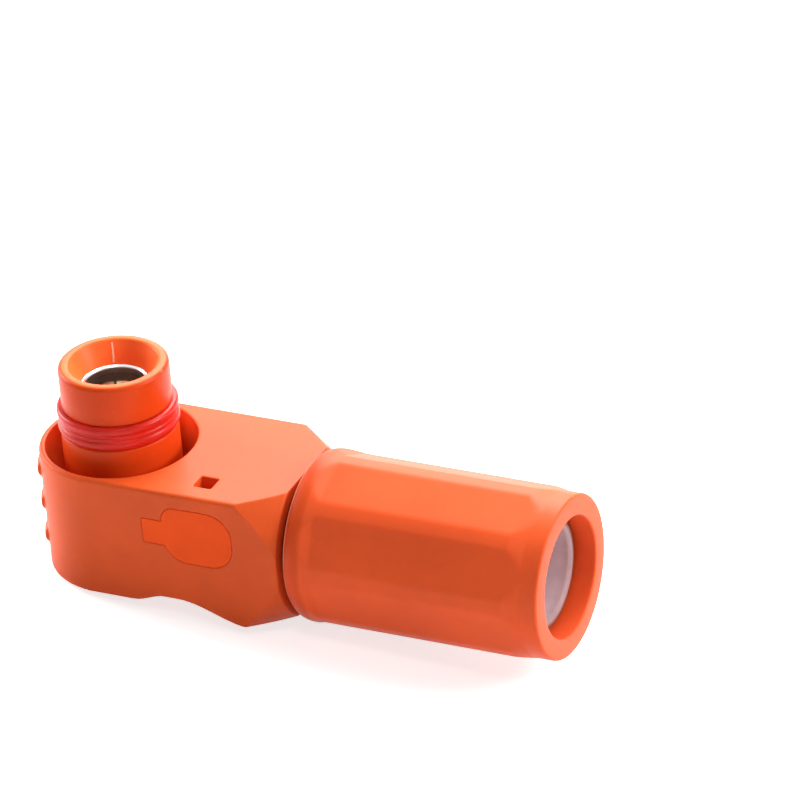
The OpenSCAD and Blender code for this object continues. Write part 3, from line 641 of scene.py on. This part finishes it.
def nutLoop():
    corners = [(nut["bore"], nut["front"], 0.3), (nut["frontR"] - nut["lip"], nut["front"], 0.35)]
    for k in range(nut["browSteps"] + 1):
        angle = math.pi / 2 * k / nut["browSteps"]
        corners.append((nut["frontR"] + (nut["corner"] - nut["frontR"]) * math.sin(angle),
                        nut["front"] + nut["browStart"] + nut["browLength"] * (1 - math.cos(angle)), 0))
    corners += [
        (nut["corner"], nut["neckFrom"], 3.0), (nut["collar"], nut["neckTo"], 2.4),
        (nut["collar"], nut["back"], 0.5), (nut["mouth"], nut["back"], 0.4),
        (nut["mouth"], nut["shoulder"], 0.2), (nut["bore"], nut["shoulder"], 0)]
    coarse = roundedLoop(corners, 8)
    loop = []
    for i, spot in enumerate(coarse):
        # points close enough for the flats, closest where they run out at the front
        after = coarse[(i + 1) % len(coarse)]
        parts = 1
        if spot.x > nut["outside"] and after.x > nut["outside"]:
            fine = nut["fine"] if nut["fineFrom"] < spot.y < nut["fineTo"] else nut["coarse"]
            parts = max(1, int((after - spot).length / fine))
            if spot.y < nut["fineTo"] < after.y:
                parts = max(parts, nut["longParts"])
        for k in range(parts):
            loop.append(spot.lerp(after, k / parts))
    return loop


points, faces = turned(nutLoop(), "x", 320, nutRadius)
newPiece("nut_shell", points, faces, finishes["nut"], "nut", ["cable_nut"])
dress("neck_oring", finishes["neckRing"])
dress("slip_washer", finishes["slip"])
dress("gland_claws", finishes["claw"])

# The gland's rubber sleeve, which shows in the mouth of the nut.
gland = {"front": 50.0, "sleeve": 58.52, "lip": 86.1, "end": 89.9, "hole": 7.6, "mouth": 9.3,
         "funnel": 78.9, "noseR": 9.0, "sleeveR": 11.0, "lipR": 11.4}
glandCorners = [
    (gland["hole"], gland["front"], 0.4), (gland["noseR"], gland["front"], 0.4),
    (gland["noseR"], gland["sleeve"], 0), (gland["sleeveR"], gland["sleeve"], 0),
    (gland["sleeveR"], gland["lip"], 0), (gland["lipR"], gland["lip"], 0.2),
    (gland["lipR"], gland["end"], 1.0), (gland["mouth"], gland["end"], 1.0),
    (gland["hole"], gland["funnel"], 3.0)]
points, faces = turned(roundedLoop(glandCorners, 8), "x", 160)
newPiece("gland_sleeve", points, faces, finishes["clearSeal"], "body", ["gland_seal"])
print("nut and gland done")

# The floor lies under the part as it rests, tipped onto the edge of its nut; metres from here on.
stage = {"pitch": math.radians(4.67), "size": 3.0, "drop": 0.00002, "roughness": 0.9,
         "tones": (0.74, 0.76), "glow": 0.72, "grainScale": 30, "skyDim": 0.14}
floorUp = Vector((math.sin(stage["pitch"]), 0, math.cos(stage["pitch"])))
floorAlong = Vector((math.cos(stage["pitch"]), 0, -math.sin(stage["pitch"])))
floorAcross = Vector((0, 1, 0))
lowest = min(floorUp.dot(v.co) for node in cadNodes.values() for v in node.data.vertices)


def fromFloor(along, across, above):
    return floorAlong * along + floorAcross * across + floorUp * (lowest - stage["drop"] + above)


def floorFinish():
    # pale paper that shows white with the part's shadow on it
    finish = Finish("floorPaper", {"Roughness": stage["roughness"], "Specular IOR Level": 0.0,
                                   "Emission Strength": 1.0})
    grain = finish.band(finish.noise(stage["grainScale"], 3), 0.2, 0.8)
    finish.feed("Base Color", finish.tint(grain, *[rgba((grey,) * 3) for grey in stage["tones"]]))
    finish.feed("Emission Color", finish.tint(finish.whiteRays(), rgba((0, 0, 0)),
                                              rgba((stage["glow"],) * 3)))
    return finish.material


half = stage["size"] / 2
corners = [fromFloor(a, b, 0) for a, b in ((-half, -half), (half, -half), (half, half), (-half, half))]
floorMesh = bpy.data.meshes.new("floor")
floorMesh.from_pydata(corners, [], [(0, 1, 2, 3)])
floorMesh.materials.append(floorFinish())
floor = bpy.data.objects.new("floor", floorMesh)
bpy.context.scene.collection.objects.link(floor)

world = bpy.data.worlds.new("studio")
world.use_nodes = True
bpy.context.scene.world = world
sky = Wiring(world.node_tree)
background = sky.tree.nodes["Background"]
background.inputs["Color"].default_value = (1, 1, 1, 1)
brightness = sky.whiteRays() * (1 - stage["skyDim"]) + stage["skyDim"]
sky.tree.links.new(brightness.socket, background.inputs["Strength"])

lamps = {  # along, across and above the floor in metres, size in metres and power in watts
    "key": {"spot": (0.00, 0.42, 0.58), "size": 0.40, "power": 6.3},
    "back": {"spot": (-0.20, 0.65, 0.42), "size": 0.5, "power": 4.6},
    "left": {"spot": (-0.60, 0.08, 0.20), "size": 0.3, "power": 3.8},
    "right": {"spot": (0.71, 0.16, 0.45), "size": 0.3, "power": 5.6},
    "front": {"spot": (0.10, -0.90, 0.10), "size": 0.6, "power": 1.1},
    "spark": {"spot": (0.22, -0.42, 0.80), "size": 0.16, "power": 0.8},
}
aimSpot = (0.035, 0, 0.015)
for name, lamp in lamps.items():
    data = bpy.data.lights.new(name, "AREA")
    data.shape = "SQUARE"
    data.size = lamp["size"]
    data.energy = lamp["power"]
    item = bpy.data.objects.new(name, data)
    item.location = fromFloor(*lamp["spot"])
    aim = fromFloor(*aimSpot) - item.location
    item.rotation_euler = aim.to_track_quat("-Z", "Y").to_euler()
    bpy.context.scene.collection.objects.link(item)
print("floor and lamps done")

# The camera looks as in the photo: where it aims, how far off it stands and how far it is moved aside.
view = {"azimuth": math.radians(27.40), "elevation": math.radians(30.01), "roll": math.radians(-5.06),
        "target": Vector((34.566, 0, 13.826)) * mm, "distance": 1292.61 * mm, "right": 21.67 * mm,
        "up": 22.67 * mm, "lens": 302.72, "sensor": 36}
sight = Vector((math.sin(view["azimuth"]) * math.cos(view["elevation"]),
                -math.cos(view["azimuth"]) * math.cos(view["elevation"]), math.sin(view["elevation"])))
levelRight = Vector((math.cos(view["azimuth"]), math.sin(view["azimuth"]), 0))
levelUp = sight.cross(levelRight)
cameraRight = math.cos(view["roll"]) * levelRight + math.sin(view["roll"]) * levelUp
cameraUp = -math.sin(view["roll"]) * levelRight + math.cos(view["roll"]) * levelUp
spot = view["target"] + sight * view["distance"] + cameraRight * view["right"] + cameraUp * view["up"]
cameraData = bpy.data.cameras.new("camera")
cameraData.lens = view["lens"]
cameraData.sensor_width = view["sensor"]
camera = bpy.data.objects.new("camera", cameraData)
pose = camera.matrix_world.copy()
for row in range(3):
    pose[row][0] = cameraRight[row]
    pose[row][1] = cameraUp[row]
    pose[row][2] = sight[row]
    pose[row][3] = spot[row]
camera.matrix_world = pose
bpy.context.scene.collection.objects.link(camera)
bpy.context.scene.camera = camera
bpy.context.scene.view_settings.view_transform = "Standard"
print("camera done")
